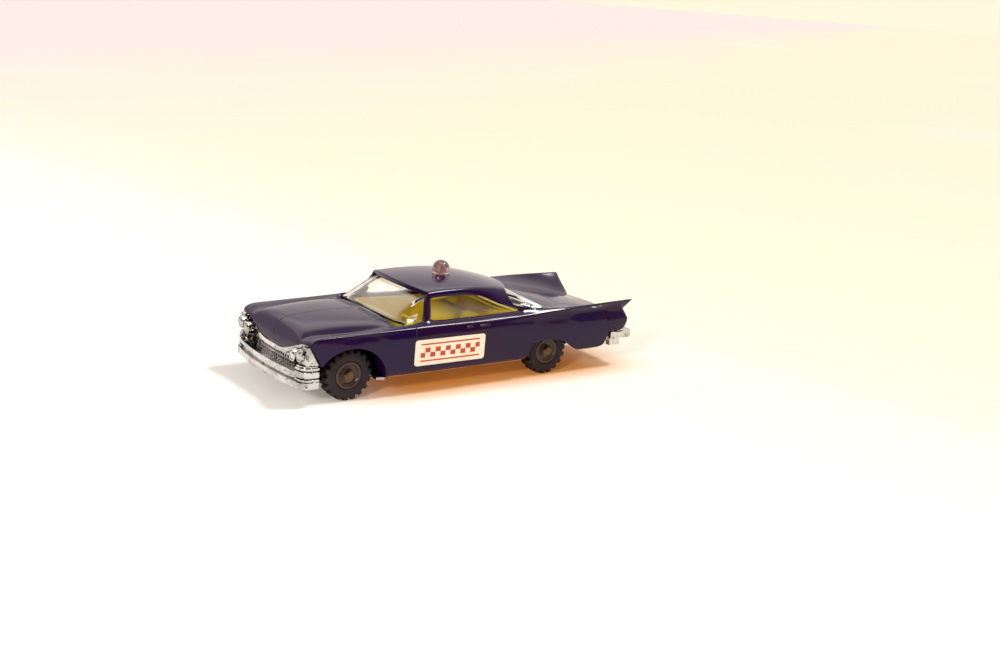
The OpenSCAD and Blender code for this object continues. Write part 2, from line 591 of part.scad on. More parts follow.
// Wheels: each hub runs on its axle and carries a tyre
wheel_face = track / 2;
boss_set = 0.15;
boss_r = 1.1;
dish_depth = 0.5;
dish_r = 1.9;
rim_set = 0.2;
head_r = 1;
head_t = 0.35;
head_gap = 0.06;
tread_depth = 0.5;
tyre_round = 0.45;
lug_gap_share = 0.45;
module on_axle(y_sign) {
    rotate([-90 * y_sign, 0, 0]) children();
}
module hub(corner) {
    bore = axle_r + axle_play;
    back = wheel_face - tyre_w + rim_set;
    color("saddlebrown") at_corner(corner) rotate_extrude($fn = 64)
        polygon([[bore, back], [hub_r, back], [hub_r, wheel_face - rim_set], [dish_r, wheel_face - rim_set],
            [dish_r - rim_set, wheel_face - dish_depth], [boss_r, wheel_face - dish_depth],
            [boss_r, wheel_face - boss_set], [bore, wheel_face - boss_set]]);
}
module tyre(corner) {
    back = wheel_face - tyre_w;
    mid = (wheel_face + back) / 2;
    shoulder = tyre_r - tyre_round;
    pitch = 360 / tread_lugs;
    gap = tread_depth + lug_gap_share * tyre_r * PI / tread_lugs;
    color("dimgray") at_corner(corner) difference() {
        rotate_extrude($fn = 96)
            polygon([[hub_r, back + rim_set], [hub_r + rim_set, back], [shoulder - rim_set, back],
                [shoulder, back + rim_set], [tyre_r, back + tyre_round + rim_set],
                [tyre_r, wheel_face - tyre_round - rim_set], [shoulder, wheel_face - rim_set],
                [shoulder - rim_set, wheel_face], [hub_r + rim_set, wheel_face],
                [hub_r, wheel_face - rim_set]]);
        for (k = [0 : tread_lugs - 1], side = [0, 1])
            rotate([0, 0, (k + side / 2) * pitch])
                translate([tyre_r - tread_depth, -gap / 2, side == 0 ? mid : back - overrun])
                    cube([tread_depth + overrun, gap, tyre_w / 2 + overrun]);
    }
}
module at_corner(corner) {
    front = corner == "front_left" || corner == "front_right";
    left = corner == "front_left" || corner == "rear_left";
    translate([front ? front_axle_x : rear_axle_x, 0, axle_z]) on_axle(left ? 1 : -1) children();
}
module axle(x) {
    reach = wheel_face - boss_set + head_gap;
    color("silver") translate([x, 0, axle_z]) {
        rotate([90, 0, 0]) cylinder(r = axle_r, h = 2 * reach, center = true, $fn = 48);
        for (side = [-1, 1]) on_axle(side) translate([0, 0, reach]) {
            cylinder(r = head_r, h = head_t / 2, $fn = 48);
            translate([0, 0, head_t / 2]) cylinder(r1 = head_r, r2 = axle_r, h = head_t / 2, $fn = 48);
        }
    }
}

// Door labels: thin plates that follow the slope of the doors
label_back = 18.5;
label_x = front_axle_x - label_back;
label_z_share = 0.6;
label_round = 0.5;
label_fit = 0.01;
module label_outline() {
    a = label_w / 2 - label_round;
    b = label_h / 2 - label_round;
    polygon([for (q = [0 : 3], t = [0 : 15 : 90])
        let (w = 90 * q + t, x = q == 0 || q == 3 ? a : -a, y = q < 2 ? b : -b)
        [x + label_round * cos(w), y + label_round * sin(w)]]);
}
module door_label() {
    line = side_line(label_x);
    z = label_z_share * belt_h;
    tilt = atan(flank_in / (line[2][1] - line[4][1]));
    translate([label_x, side_y(line, z) + label_fit, z]) rotate([-tilt, 0, 0]) rotate([90, 0, 180])
        linear_extrude(height = label_t) label_outline();
}
module door_label_left() {
    color("ivory") door_label();
}
module door_label_right() {
    color("ivory") mirror([0, 1, 0]) door_label();
}

// Rivets: a head set into the base and a shank up into the post
rivet_head_r = 1.2;
rivet_head_t = 0.35;
rivet_fit = 0.02;
head_set = 0.05;
module rivet(x) {
    foot = floor_z(x) + head_set;
    color("silver") translate([x, 0, foot]) {
        cylinder(r = rivet_head_r - rivet_fit, h = rivet_head_t, $fn = 48);
        cylinder(r = rivet_r - rivet_fit, h = post_foot(x) - foot + rivet_depth - rivet_fit, $fn = 48);
    }
}

// Base: floor pan, flanges under the sills, a raised tail floor and the axle lugs
base_z = sill_z - floor_t;
tail_lift = 0.45;
pan_in = 3.6;
pan_half = half_w - pan_in;
pan_front_set = 2.6;
pan_front_x = half_len - pan_front_set;
pan_end_x = rear_axle_x - tyre_r - wheel_room;
tail_end_set = 1.95;
tail_end_x = tail_end_set - half_len;
tail_in = 4;
tail_half = half_w - tail_in;
riser_half = waist - floor_t;
riser_top = 0.4;
flange_half = half_w - sill_tuck - body_wall - sill_in;
flange_t = 0.45;
step_reach = 1.3;
step_taper = 3;
lug_w = 2;
lug_half = 1.6;
lug_top = 1.5;
channel_depth = 0.3;
channel_half = 1.2;
function floor_z(x) = x > pan_end_x ? base_z : sill_z + tail_lift;
function post_foot(x) = floor_z(x) + floor_t;
module both_sides() {
    children();
    mirror([0, 1, 0]) children();
}
module mirrored_outline(half) {
    polygon(concat(half, [for (k = [len(half) - 1 : -1 : 0]) [half[k][0], -half[k][1]]]));
}
module floor_pan() {
    front_gap = [front_axle_x + tyre_r + wheel_room, front_axle_x - tyre_r - wheel_room];
    rear_gap = rear_axle_x + tyre_r + wheel_room;
    translate([0, 0, base_z]) linear_extrude(height = floor_t)
        mirrored_outline([[pan_front_x, pan_half], [front_gap[0], pan_half], [front_gap[0], waist],
            [front_gap[1], waist], [front_gap[1], pan_half], [rear_gap, pan_half], [rear_gap, waist],
            [pan_end_x + floor_t / 2, waist]]);
    translate([0, 0, sill_z - flange_t]) linear_extrude(height = flange_t)
        mirrored_outline([[front_gap[1], flange_half + step_reach / 2],
            [front_gap[1] - step_reach, half_w - sill_tuck],
            [front_gap[1] - step_taper, flange_half], [rear_gap + wheel_room, flange_half]]);
    translate([pan_end_x, -riser_half, base_z])
        cube([floor_t, 2 * riser_half, floor_z(pan_end_x) + floor_t + riser_top - base_z]);
    translate([tail_end_x, -tail_half, floor_z(tail_end_x)])
        cube([pan_end_x + floor_t / 2 - tail_end_x, 2 * tail_half, floor_t]);
    for (x = [front_axle_x, rear_axle_x]) both_sides()
        translate([x - lug_half, waist - lug_w, base_z])
            cube([2 * lug_half, lug_w, axle_z + lug_top - base_z]);
}

// Plan of a bumper bar: bowed across, rounded at the corners and wrapped back to its ends
bar_t = 1;
function bar_plan(nose, half, bow, corner, end) =
    concat(
        [for (t = [0 : 0.125 : 1]) [nose - bow * t * t, (half - corner) * t]],
        [for (a = [15 : 15 : 90]) [nose - bow - corner + corner * cos(a), half - corner + corner * sin(a)]],
        [[end, half], [end, half - bar_t], [nose - bow - corner - bar_t, half - bar_t]]);
module bar(nose, half, bow, corner, end, z0, z1) {
    translate([0, 0, z0]) linear_extrude(height = z1 - z0)
        mirrored_outline(bar_plan(nose, half, bow, corner, end));
}

// Front: two bumper bars, a grille of small squares, paired headlamps and a band under the brow
bumper_in = 0.6;
bumper_half = half_w - bumper_in;
bumper_bow = 1;
bumper_corner = 1.5;
bumper_wrap = 4.3;
bumper_end_x = half_len - bumper_wrap;
filler_end_x = bumper_end_x + bumper_in / 3;
bumper_drop = 0.45;
bumper_low = sill_z - bumper_drop;
bumper_z_shares = [0, 0.24, 0.41, 0.55];
bumper_set = 0.5;
end_top_share = 0.8;
end_ribs = 6;
end_rib_share = 0.55;
brow_fit = 0.03;
band_h = 0.75;
band_set = 1.9;
panel_set = 2.8;
panel_back = 4;
panel_in = 1.9;
panel_half = half_w - panel_in;
grille_in = 4.1;
grille_half = panel_half - grille_in;
grille_rows = 2;
grille_columns = 19;
grille_set = 2.15;
grille_lap = 0.3;
pit_share = 0.66;
pit_depth = 0.6;
headlamp_shares = [[0.655, 0.66], [0.835, 0.7]];
headlamp_r = 1.05;
headlamp_bezel = 0.2;
headlamp_back = 3.2;
headlamp_reach = 1.9;
// Side view of the chrome ahead of the fender's front edge: x in half lengths, z in belt heights
cheek_shares = [[0.933, 0.822], [0.944, 0.818], [0.954, 0.69], [0.948, 0.58], [0.887, 0.572]];
cheek_t = 1.2;
cheek_lap = 0.3;
function brow_z(y) = brow_edge(0, abs(y))[2] - brow_fit;
brow_ys = [for (k = [-12 : 12]) panel_half * k / 12];
module forward(from, to) {
    translate([from, 0, 0]) rotate([90, 0, 90]) linear_extrude(height = to - from) children();
}
module panel_plan(nose) {
    mirrored_outline(concat(
        [for (t = [0 : 0.125 : 1]) [nose - bumper_bow * t * t, panel_half * t]],
        [[half_len - panel_back, panel_half]]));
}
// Panel behind the lamps, from a level foot up to the brow's edge
module panel(nose, foot) {
    intersection() {
        translate([0, 0, foot]) linear_extrude(height = belt_h - foot) panel_plan(nose);
        forward(half_len - panel_back, half_len)
            polygon(concat([for (y = brow_ys) [y, brow_z(y)]], [[panel_half, foot], [-panel_half, foot]]));
    }
}
module brow_band() {
    intersection() {
        linear_extrude(height = belt_h) panel_plan(half_len - band_set);
        forward(half_len - panel_back, half_len)
            polygon(concat([for (y = brow_ys) [y, brow_z(y)]],
                [for (k = [len(brow_ys) - 1 : -1 : 0]) [brow_ys[k], brow_z(brow_ys[k]) - band_h]]));
    }
}
module grille(z0, z1) {
    dy = 2 * grille_half / grille_columns;
    dz = (z1 - z0) / grille_rows;
    nose = half_len - grille_set;
    difference() {
        intersection() {
            translate([0, 0, z0 - grille_lap]) linear_extrude(height = z1 - z0 + 2 * grille_lap)
                panel_plan(nose);
            translate([0, -grille_half, 0]) cube([length, 2 * grille_half, belt_h]);
        }
        for (c = [0 : grille_columns - 1], r = [0 : grille_rows - 1])
            let (y = (c + 0.5) * dy - grille_half, x = nose - bumper_bow * pow(y / panel_half, 2))
            translate([x - pit_depth, y - dy * pit_share / 2, z0 + (r + 0.5 - pit_share / 2) * dz])
                cube([pit_depth + overrun, dy * pit_share, dz * pit_share]);
    }
}
module headlamp() {
    lens_r = headlamp_r - headlamp_bezel;
    lens_x = headlamp_reach - headlamp_bezel;
    rotate([0, 90, 0]) rotate_extrude($fn = 40)
        polygon(concat(
            [[0, 0], [headlamp_r, 0], [headlamp_r, headlamp_reach], [lens_r, headlamp_reach]],
            [for (a = [0 : 15 : 90]) [lens_r * cos(a), lens_x + 2 * headlamp_bezel * sin(a)]]));
}
// The proud bars and, set back from them, the filler that joins them
module front_bar(set, z0, z1) {
    bar(half_len - set, bumper_half, bumper_bow, bumper_corner, bumper_end_x, z0, z1);
}
module front_filler(z0, z1) {
    bar(half_len - bumper_set, bumper_half - bumper_set / 2, bumper_bow, bumper_corner, filler_end_x, z0, z1);
}
module front_end() {
    rise = brow_z(0) - bumper_low;
    z = [for (s = bumper_z_shares) bumper_low + s * rise];
    top = bumper_low + end_top_share * rise;
    rib = (top - z[0]) / end_ribs;
    grille_top = brow_z(0) - band_h;
    front_bar(0, z[0], z[1]);
    front_bar(bumper_set / 2, z[2], z[3]);
    front_filler(z[0], z[3]);
    intersection() {
        union() {
            front_filler(z[0], top);
            for (k = [0 : end_ribs - 1])
                front_bar(bumper_set / 2, z[0] + rib * k, z[0] + rib * (k + end_rib_share));
        }
        both_sides() translate([0, panel_half - bar_t, 0]) cube([length, body_w, belt_h]);
    }
    panel(half_len - panel_set, z[0]);
    brow_band();
    grille(z[3], grille_top);
    both_sides() {
        for (s = headlamp_shares)
            translate([half_len - headlamp_back, s[0] * half_w, s[1] * belt_h]) headlamp();
        translate([0, panel_half - cheek_lap, 0]) rotate([90, 0, 0]) mirror([0, 0, 1])
            linear_extrude(height = cheek_t + cheek_lap)
            polygon([for (s = cheek_shares) [place(s[0]), s[1] * belt_h]]);
    }
}

// Rear: one bar round the tail with a deeper block at each corner
rear_bar_z_shares = [0.462, 0.562];
rear_block_z_share = 0.355;
rear_block_in = 3;
rear_block_run = 2.4;
rear_bow = 0.5;
rear_corner = 1.2;
rear_wrap = 5.95;
rear_in = 0.25;
module rear_end() {
    z = rear_bar_z_shares * belt_h;
    low = rear_block_z_share * belt_h;
    half = half_w - rear_in;
    end = half_len - rear_wrap;
    mirror([1, 0, 0]) {
        bar(half_len, half, rear_bow, rear_corner, end, z[0], z[1]);
        intersection() {
            bar(half_len - bumper_set, half - bumper_set / 2, rear_bow, rear_corner, end,
                low, z[0] + bumper_set);
            both_sides() translate([0, half - rear_block_in, 0]) cube([end + rear_block_run, body_w, belt_h]);
        }
    }
    translate([tail_end_x - floor_t / 2, -tail_half, floor_z(tail_end_x) + floor_t / 2])
        cube([2 * floor_t, 2 * tail_half, z[1] - bumper_set / 2 - floor_z(tail_end_x) - floor_t / 2]);
}
module base_plate() {
    color("gainsboro") difference() {
        union() {
            floor_pan();
            front_end();
            rear_end();
        }
        for (x = [front_axle_x, rear_axle_x]) {
            translate([x, 0, axle_z]) rotate([90, 0, 0])
                cylinder(r = axle_r + axle_play, h = body_w, center = true, $fn = 48);
            translate([x - channel_half, lug_w - waist, sill_z - channel_depth])
                cube([2 * channel_half, 2 * (waist - lug_w), channel_depth + overrun]);
        }
        for (x = post_xs) translate([x, 0, floor_z(x) - overrun]) {
            cylinder(r = rivet_head_r, h = overrun + head_set + rivet_head_t, $fn = 48);
            cylinder(r = rivet_r, h = floor_t + 2 * overrun, $fn = 48);
        }
    }
}

body_shell();
window_unit();
interior();
base_plate();
roof_lamp();
axle(front_axle_x);  // front_axle
axle(rear_axle_x);  // rear_axle
door_label_left();
door_label_right();
rivet(front_post_x);  // front_rivet
rivet(rear_post_x);  // rear_rivet
for (corner = CORNERS) {
    hub(corner);
    tyre(corner);
}
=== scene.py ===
"""Looks of the toy patrol car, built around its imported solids. Lengths are metres, written as MM times millimetres."""

import math

import bmesh
import bpy
from mathutils import Matrix, Vector
from mathutils.bvhtree import BVHTree


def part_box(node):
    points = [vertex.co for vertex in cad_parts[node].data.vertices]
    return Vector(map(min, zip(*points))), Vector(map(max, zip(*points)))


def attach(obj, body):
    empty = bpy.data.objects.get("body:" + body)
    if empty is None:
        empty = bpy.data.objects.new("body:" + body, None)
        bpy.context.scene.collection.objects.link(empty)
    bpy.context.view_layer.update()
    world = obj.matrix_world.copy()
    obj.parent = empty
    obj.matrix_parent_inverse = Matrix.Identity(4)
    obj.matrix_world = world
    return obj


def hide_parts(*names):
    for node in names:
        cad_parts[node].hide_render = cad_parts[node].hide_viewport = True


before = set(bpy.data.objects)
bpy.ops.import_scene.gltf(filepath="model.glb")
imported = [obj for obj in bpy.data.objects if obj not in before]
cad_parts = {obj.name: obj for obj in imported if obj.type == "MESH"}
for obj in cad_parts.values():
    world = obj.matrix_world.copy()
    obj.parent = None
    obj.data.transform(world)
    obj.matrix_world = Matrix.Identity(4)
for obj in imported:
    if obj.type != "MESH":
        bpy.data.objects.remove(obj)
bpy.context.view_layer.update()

MM = 0.001
MERGE = 0.002 * MM
IMAGE_W = 1000
CORNERS = ("front_left", "front_right", "rear_left", "rear_right")


# Camera: where it stood, which way it looked, and its focal length in pixels
EYE = Vector((124.004, 182.814, 66.496)) * MM
LOOK = Vector((-0.57974, -0.77162, -0.26174))
UP = Vector((-0.09189, -0.25726, 0.96196))
FOCAL_PX = 1260
SENSOR = 36


def make_camera():
    data = bpy.data.cameras.new("camera")
    data.sensor_width = SENSOR
    data.lens = FOCAL_PX * SENSOR / IMAGE_W
    data.clip_start = 5 * MM
    data.clip_end = 50
    camera = bpy.data.objects.new("camera", data)
    right = LOOK.cross(UP).normalized()
    up = right.cross(LOOK).normalized()
    turn = Matrix((right, up, -LOOK.normalized())).transposed()
    camera.matrix_world = Matrix.Translation(EYE) @ turn.to_4x4()
    bpy.context.scene.collection.objects.link(camera)
    bpy.context.scene.camera = camera


# Node trees
class Tree:
    """A few short ways to add nodes to a material, a world or a group and to join them."""

    def __init__(self, tree):
        self.tree = tree

    def add(self, kind, settings=None, **inputs):
        node = self.tree.nodes.new(kind)
        for name, value in (settings or {}).items():
            setattr(node, name, value)
        for name, value in inputs.items():
            self.put(node, name.replace("_", " "), value)
        return node

    def put(self, node, socket, value):
        target = node.inputs[int(socket[1:])] if socket[0] == "i" and socket[1:].isdigit() else node.inputs[socket]
        if isinstance(value, bpy.types.NodeSocket):
            self.tree.links.new(value, target)
        else:
            target.default_value = value

    def math(self, operation, a, b=0.0, c=0.0):
        return self.add("ShaderNodeMath", {"operation": operation}, i0=a, i1=b, i2=c).outputs[0]

    def smooth(self, value, low, high):
        """Rises from 0 at low to 1 at high."""
        settings = {"interpolation_type": "SMOOTHSTEP"}
        return self.add("ShaderNodeMapRange", settings, Value=value, From_Min=low, From_Max=high).outputs[0]

    def mix(self, factor, a, b):
        node = self.add("ShaderNodeMix", {"data_type": "RGBA"})
        for index, value in ((0, factor), (6, a), (7, b)):
            if isinstance(value, bpy.types.NodeSocket):
                self.tree.links.new(value, node.inputs[index])
            else:
                node.inputs[index].default_value = value
        return node.outputs[2]

    def noise(self, coords, scale, detail=3.0, rough=0.5):
        return self.add("ShaderNodeTexNoise", Vector=coords, Scale=scale, Detail=detail, Roughness=rough).outputs[0]

    def coords(self):
        return self.add("ShaderNodeTexCoord").outputs["Object"]

    def bump(self, height, strength, distance):
        return self.add("ShaderNodeBump", Height=height, Strength=strength, Distance=distance).outputs[0]


def new_group(name, inputs, outputs):
    group = bpy.data.node_groups.new(name, "ShaderNodeTree")
    for socket, kind, value in inputs:
        made = group.interface.new_socket(socket, in_out="INPUT", socket_type=kind)
        if value is not None:
            made.default_value = value
    for socket, kind in outputs:
        group.interface.new_socket(socket, in_out="OUTPUT", socket_type=kind)
    tree = Tree(group)
    return group, tree, tree.add("NodeGroupInput").outputs, tree.add("NodeGroupOutput")


def make_settled_dust():
    """Fine dust that lies on what faces up, in drifts."""
    group, t, given, out = new_group(
        "settled_dust",
        [("Coords", "NodeSocketVector", None), ("Amount", "NodeSocketFloat", 0.1)],
        [("Mask", "NodeSocketFloat")])
    facing = t.add("ShaderNodeSeparateXYZ", Vector=t.add("ShaderNodeNewGeometry").outputs["Normal"]).outputs[2]
    up = t.smooth(facing, 0.3, 1.0)
    drift = t.smooth(t.noise(given["Coords"], 160, 4, 0.6), 0.35, 0.7)
    speck = t.smooth(t.noise(given["Coords"], 2600, 2, 0.5), 0.66, 0.74)
    total = t.math("ADD", t.math("MULTIPLY", drift, 0.6), t.math("MULTIPLY", speck, 0.9))
    t.put(out, "Mask", t.math("MULTIPLY", t.math("MULTIPLY", total, up), given["Amount"]))
    return group


def make_handling():
    """Rubbed patches and fine scratches from years of handling."""
    group, t, given, out = new_group(
        "handling",
        [("Coords", "NodeSocketVector", None), ("Base Rough", "NodeSocketFloat", 0.2),
         ("Spread", "NodeSocketFloat", 0.1)],
        [("Rough", "NodeSocketFloat"), ("Rub", "NodeSocketFloat"), ("Height", "NodeSocketFloat")])
    rub = t.noise(given["Coords"], 240, 5, 0.6)
    stretched = t.add("ShaderNodeMapping", Vector=given["Coords"], Scale=(300, 1900, 1500)).outputs[0]
    scratch = t.smooth(t.noise(stretched, 1, 3, 0.6), 0.68, 0.72)
    rough = t.math("MULTIPLY_ADD", t.math("SUBTRACT", rub, 0.5), given["Spread"], given["Base Rough"])
    t.put(out, "Rough", t.math("MULTIPLY_ADD", scratch, 0.08, rough))
    t.put(out, "Rub", rub)
    t.put(out, "Height", t.noise(given["Coords"], 1500, 3, 0.55))
    return group


def make_material(name, **plain):
    """A material with its shader, whose plain values are set on its sockets."""
    material = bpy.data.materials.new(name)
    material.use_nodes = True
    tree = Tree(material.node_tree)
    shader = material.node_tree.nodes["Principled BSDF"]
    for socket, value in plain.items():
        shader.inputs[socket.replace("_", " ")].default_value = value
    return material, tree, shader


def worn(t, base_rough, spread):
    """The handling group in a material: its outputs."""
    coords = t.coords()
    node = t.add("ShaderNodeGroup", {"node_tree": HANDLING}, Coords=coords, Base_Rough=base_rough, Spread=spread)
    return coords, node.outputs


def dusty(t, coords, amount, colour, dust):
    node = t.add("ShaderNodeGroup", {"node_tree": DUST}, Coords=coords, Amount=amount)
    return t.mix(node.outputs[0], colour, dust)


DUST_COLOUR = (0.42, 0.36, 0.3, 1)


# Panel lines, in millimetres: where each starts and ends along or across the car
HOOD_LINE_X = (18.6, 34)
BOOT_LINE_X = (-22.1, -21.9)
BOOT_SIDE_X = (-34.6, -22)
BOOT_HALF_W = 6.2
DOOR_LINE_X = (13.42, 13.58)
DOOR_LINE_Z = (4.4, 11.9)
DOOR_Y = (11, 14)
VENT_X = (17.1, 18.5)
VENT_Y = (0.9, 6.9)
TOP_Z = 9


def make_panel_lines():
    """Fine lines and vents of the panels, from places on the body: 1 in a groove."""
    group, t, given, out = new_group("panel_lines", [("Coords", "NodeSocketVector", None)],
                                     [("Groove", "NodeSocketFloat"), ("Vent", "NodeSocketFloat")])
    x, y, z = t.add("ShaderNodeSeparateXYZ", Vector=given["Coords"]).outputs
    side = t.math("ABSOLUTE", y)
    top = t.smooth(z, TOP_Z * MM, (TOP_Z + 0.3) * MM)

    def within(value, low, high, edge=0.05):
        return t.math("MULTIPLY", t.smooth(value, (low - edge) * MM, (low + edge) * MM),
                      t.smooth(value, (high + edge) * MM, (high - edge) * MM))

    def both(first, second):
        return t.math("MULTIPLY", first, second)

    hood = both(within(x, *HOOD_LINE_X, 0.1), within(side, -1, 0.1))
    boot_side = t.math("SUBTRACT", side, t.math("MULTIPLY_ADD", x, 0.06, 7.5 * MM))
    boot = t.math("MAXIMUM", both(within(x, *BOOT_LINE_X), within(side, -1, BOOT_HALF_W)),
                  both(within(boot_side, -0.08, 0.08), within(x, *BOOT_SIDE_X)))
    door = both(both(within(x, *DOOR_LINE_X), within(side, *DOOR_Y)), within(z, *DOOR_LINE_Z))
    t.put(out, "Groove", t.math("MAXIMUM", both(t.math("MAXIMUM", hood, boot), top), door))
    t.put(out, "Vent", both(both(within(x, *VENT_X), within(side, *VENT_Y)), top))
    return group


def make_enamel():
    """Dark blue gloss enamel with a violet cast, with painted shade in the panel lines and vents, and a soft
    orange-peel surface.
    """
    material, t, shader = make_material("body_enamel", IOR=1.38, Specular_IOR_Level=0.38)
    coords, wear = worn(t, 0.11, 0.1)
    lines = t.add("ShaderNodeGroup", {"node_tree": LINES}, Coords=coords).outputs
    cloud = t.noise(coords, 90, 3, 0.5)
    colour = t.mix(t.smooth(cloud, 0.3, 0.7), (0.011, 0.002, 0.036, 1), (0.019, 0.003, 0.027, 1))
    colour = dusty(t, coords, 0.02, colour, DUST_COLOUR)
    # Painted shade: the colour of the grooves and vents is darkened almost to black, and they are rougher.
    painted_shade_in_grooves = t.math("MAXIMUM", lines["Groove"], t.math("MULTIPLY", lines["Vent"], 0.85))
    t.put(shader, "Base Color", t.mix(painted_shade_in_grooves, colour, (0.002, 0.002, 0.006, 1)))
    t.put(shader, "Roughness", t.math("MULTIPLY_ADD", painted_shade_in_grooves, 0.3, wear["Rough"]))
    deep = t.math("MAXIMUM", lines["Groove"], lines["Vent"])
    height = t.math("SUBTRACT", t.math("MULTIPLY", wear["Height"], 0.012), deep)
    t.put(shader, "Normal", t.bump(height, 0.8, 0.2 * MM))
    return material


def make_plating():
    """Bright plating over a casting: small ripples and facets, dull patches, dark pits, and painted shade in the low
    spots.
    """
    material, t, shader = make_material("bright_plating", Metallic=1.0)
    coords, wear = worn(t, 0.08, 0.16)
    tone = t.mix(t.smooth(wear["Rub"], 0.35, 0.62), (0.36, 0.34, 0.32, 1), (0.64, 0.62, 0.6, 1))
    pits = t.smooth(t.noise(coords, 1100, 3, 0.6), 0.6, 0.7)
    # Painted shade: ambient occlusion darkens the colour in the hollows, together with real dark pits.
    hollow = t.add("ShaderNodeAmbientOcclusion", {"samples": 6, "only_local": True},
                   Distance=0.6 * MM).outputs["AO"]
    pits_and_painted_hollow_shade = t.math("MAXIMUM", t.math("MULTIPLY", pits, 0.7), t.smooth(hollow, 0.75, 0.3))
    tone = t.mix(pits_and_painted_hollow_shade, tone, (0.035, 0.028, 0.024, 1))
    t.put(shader, "Base Color", dusty(t, coords, 0.06, tone, DUST_COLOUR))
    t.put(shader, "Roughness", t.math("MULTIPLY_ADD", pits, 0.25, wear["Rough"]))
    ripple = t.math("MULTIPLY_ADD", t.noise(coords, 800, 2, 0.5), 1.6, wear["Height"])
    t.put(shader, "Normal", t.bump(t.math("SUBTRACT", ripple, pits), 0.7, 0.08 * MM))
    return material


def let_light_in(material, t, shader, tint):
    """Rays from a lamp go straight through a clear piece."""
    path = t.add("ShaderNodeLightPath").outputs
    through = t.add("ShaderNodeBsdfTransparent", Color=tint)
    light = t.math("MAXIMUM", path["Is Shadow Ray"], path["Is Diffuse Ray"])
    lit = t.add("ShaderNodeMixShader", i0=light, i1=shader.outputs[0], i2=through.outputs[0])
    t.put(material.node_tree.nodes["Material Output"], "Surface", lit.outputs[0])


def make_glazing_plastic():
    """Clear moulded glazing."""
    material, t, shader = make_material("clear_glazing", Transmission_Weight=1.0, IOR=1.45,
                                        Base_Color=(0.98, 0.98, 0.95, 1))
    coords, wear = worn(t, 0.02, 0.03)
    t.put(shader, "Roughness", wear["Rough"])
    t.put(shader, "Normal", t.bump(t.noise(coords, 260, 2, 0.4), 0.16, 0.1 * MM))
    let_light_in(material, t, shader, (0.95, 0.95, 0.92, 1))
    return material


def make_seat_plastic():
    """Yellow moulding of the seats and tub."""
    material, t, shader = make_material("interior_plastic", Specular_IOR_Level=0.4)
    coords, wear = worn(t, 0.38, 0.2)
    colour = t.mix(wear["Rub"], (0.7, 0.48, 0.006, 1), (0.8, 0.6, 0.01, 1))
    t.put(shader, "Base Color", dusty(t, coords, 0.1, colour, DUST_COLOUR))
    t.put(shader, "Roughness", wear["Rough"])
    t.put(shader, "Normal", t.bump(wear["Height"], 0.2, 0.03 * MM))
    return material


def make_lamp_plastic(name, transmission, dark, light):
    material, t, shader = make_material(name, Transmission_Weight=transmission, IOR=1.49)
    coords, wear = worn(t, 0.1, 0.08)
    t.put(shader, "Base Color", t.mix(t.noise(coords, 420, 3, 0.5), dark, light))
    t.put(shader, "Roughness", wear["Rough"])
    t.put(shader, "Normal", t.bump(wear["Height"], 0.1, 0.02 * MM))
    return material


def make_rubber():
    """Matt dark rubber with dust in the pores and paler rubbed tread."""
    material, t, shader = make_material("tyre_rubber", Specular_IOR_Level=0.35)
    coords, wear = worn(t, 0.66, 0.2)
    colour = t.mix(t.smooth(wear["Rub"], 0.3, 0.75), (0.011, 0.006, 0.009, 1), (0.028, 0.016, 0.02, 1))
    t.put(shader, "Base Color", dusty(t, coords, 0.18, colour, (0.12, 0.09, 0.08, 1)))
    t.put(shader, "Roughness", wear["Rough"])
    pores = t.math("MULTIPLY_ADD", t.noise(coords, 4200, 2, 0.5), 0.6, wear["Height"])
    t.put(shader, "Normal", t.bump(pores, 0.4, 0.04 * MM))
    return material


def make_hub_plastic():
    """Dark brown moulding of the hubs."""
    material, t, shader = make_material("hub_plastic", Specular_IOR_Level=0.5)
    coords, wear = worn(t, 0.3, 0.2)
    colour = t.mix(t.smooth(wear["Rub"], 0.3, 0.7), (0.028, 0.013, 0.01, 1), (0.062, 0.026, 0.015, 1))
    t.put(shader, "Base Color", dusty(t, coords, 0.25, colour, (0.16, 0.1, 0.07, 1)))
    t.put(shader, "Roughness", wear["Rough"])
    t.put(shader, "Normal", t.bump(wear["Height"], 0.25, 0.03 * MM))
    return material


def make_wire_steel():
    """Drawn wire of the axles and rivets, with a brown bloom."""
    material, t, shader = make_material("wire_steel", Metallic=1.0)
    coords, wear = worn(t, 0.32, 0.2)
    colour = t.mix(t.smooth(wear["Rub"], 0.4, 0.7), (0.13, 0.075, 0.045, 1), (0.07, 0.035, 0.02, 1))
    t.put(shader, "Base Color", colour)
    t.put(shader, "Roughness", wear["Rough"])
    t.put(shader, "Normal", t.bump(wear["Height"], 0.2, 0.02 * MM))
    return material


# Door label: a cream film with a plain chequered band in red between two thin lines
CHECK_W = 1.02 * MM
CHECK_H = 0.85 * MM
CHECK_ROWS = 2
BAND_MARGIN = 1.1 * MM
LINE_Z = 1.45 * MM
LINE_T = 0.26 * MM
PRINT_EDGE = 0.02 * MM


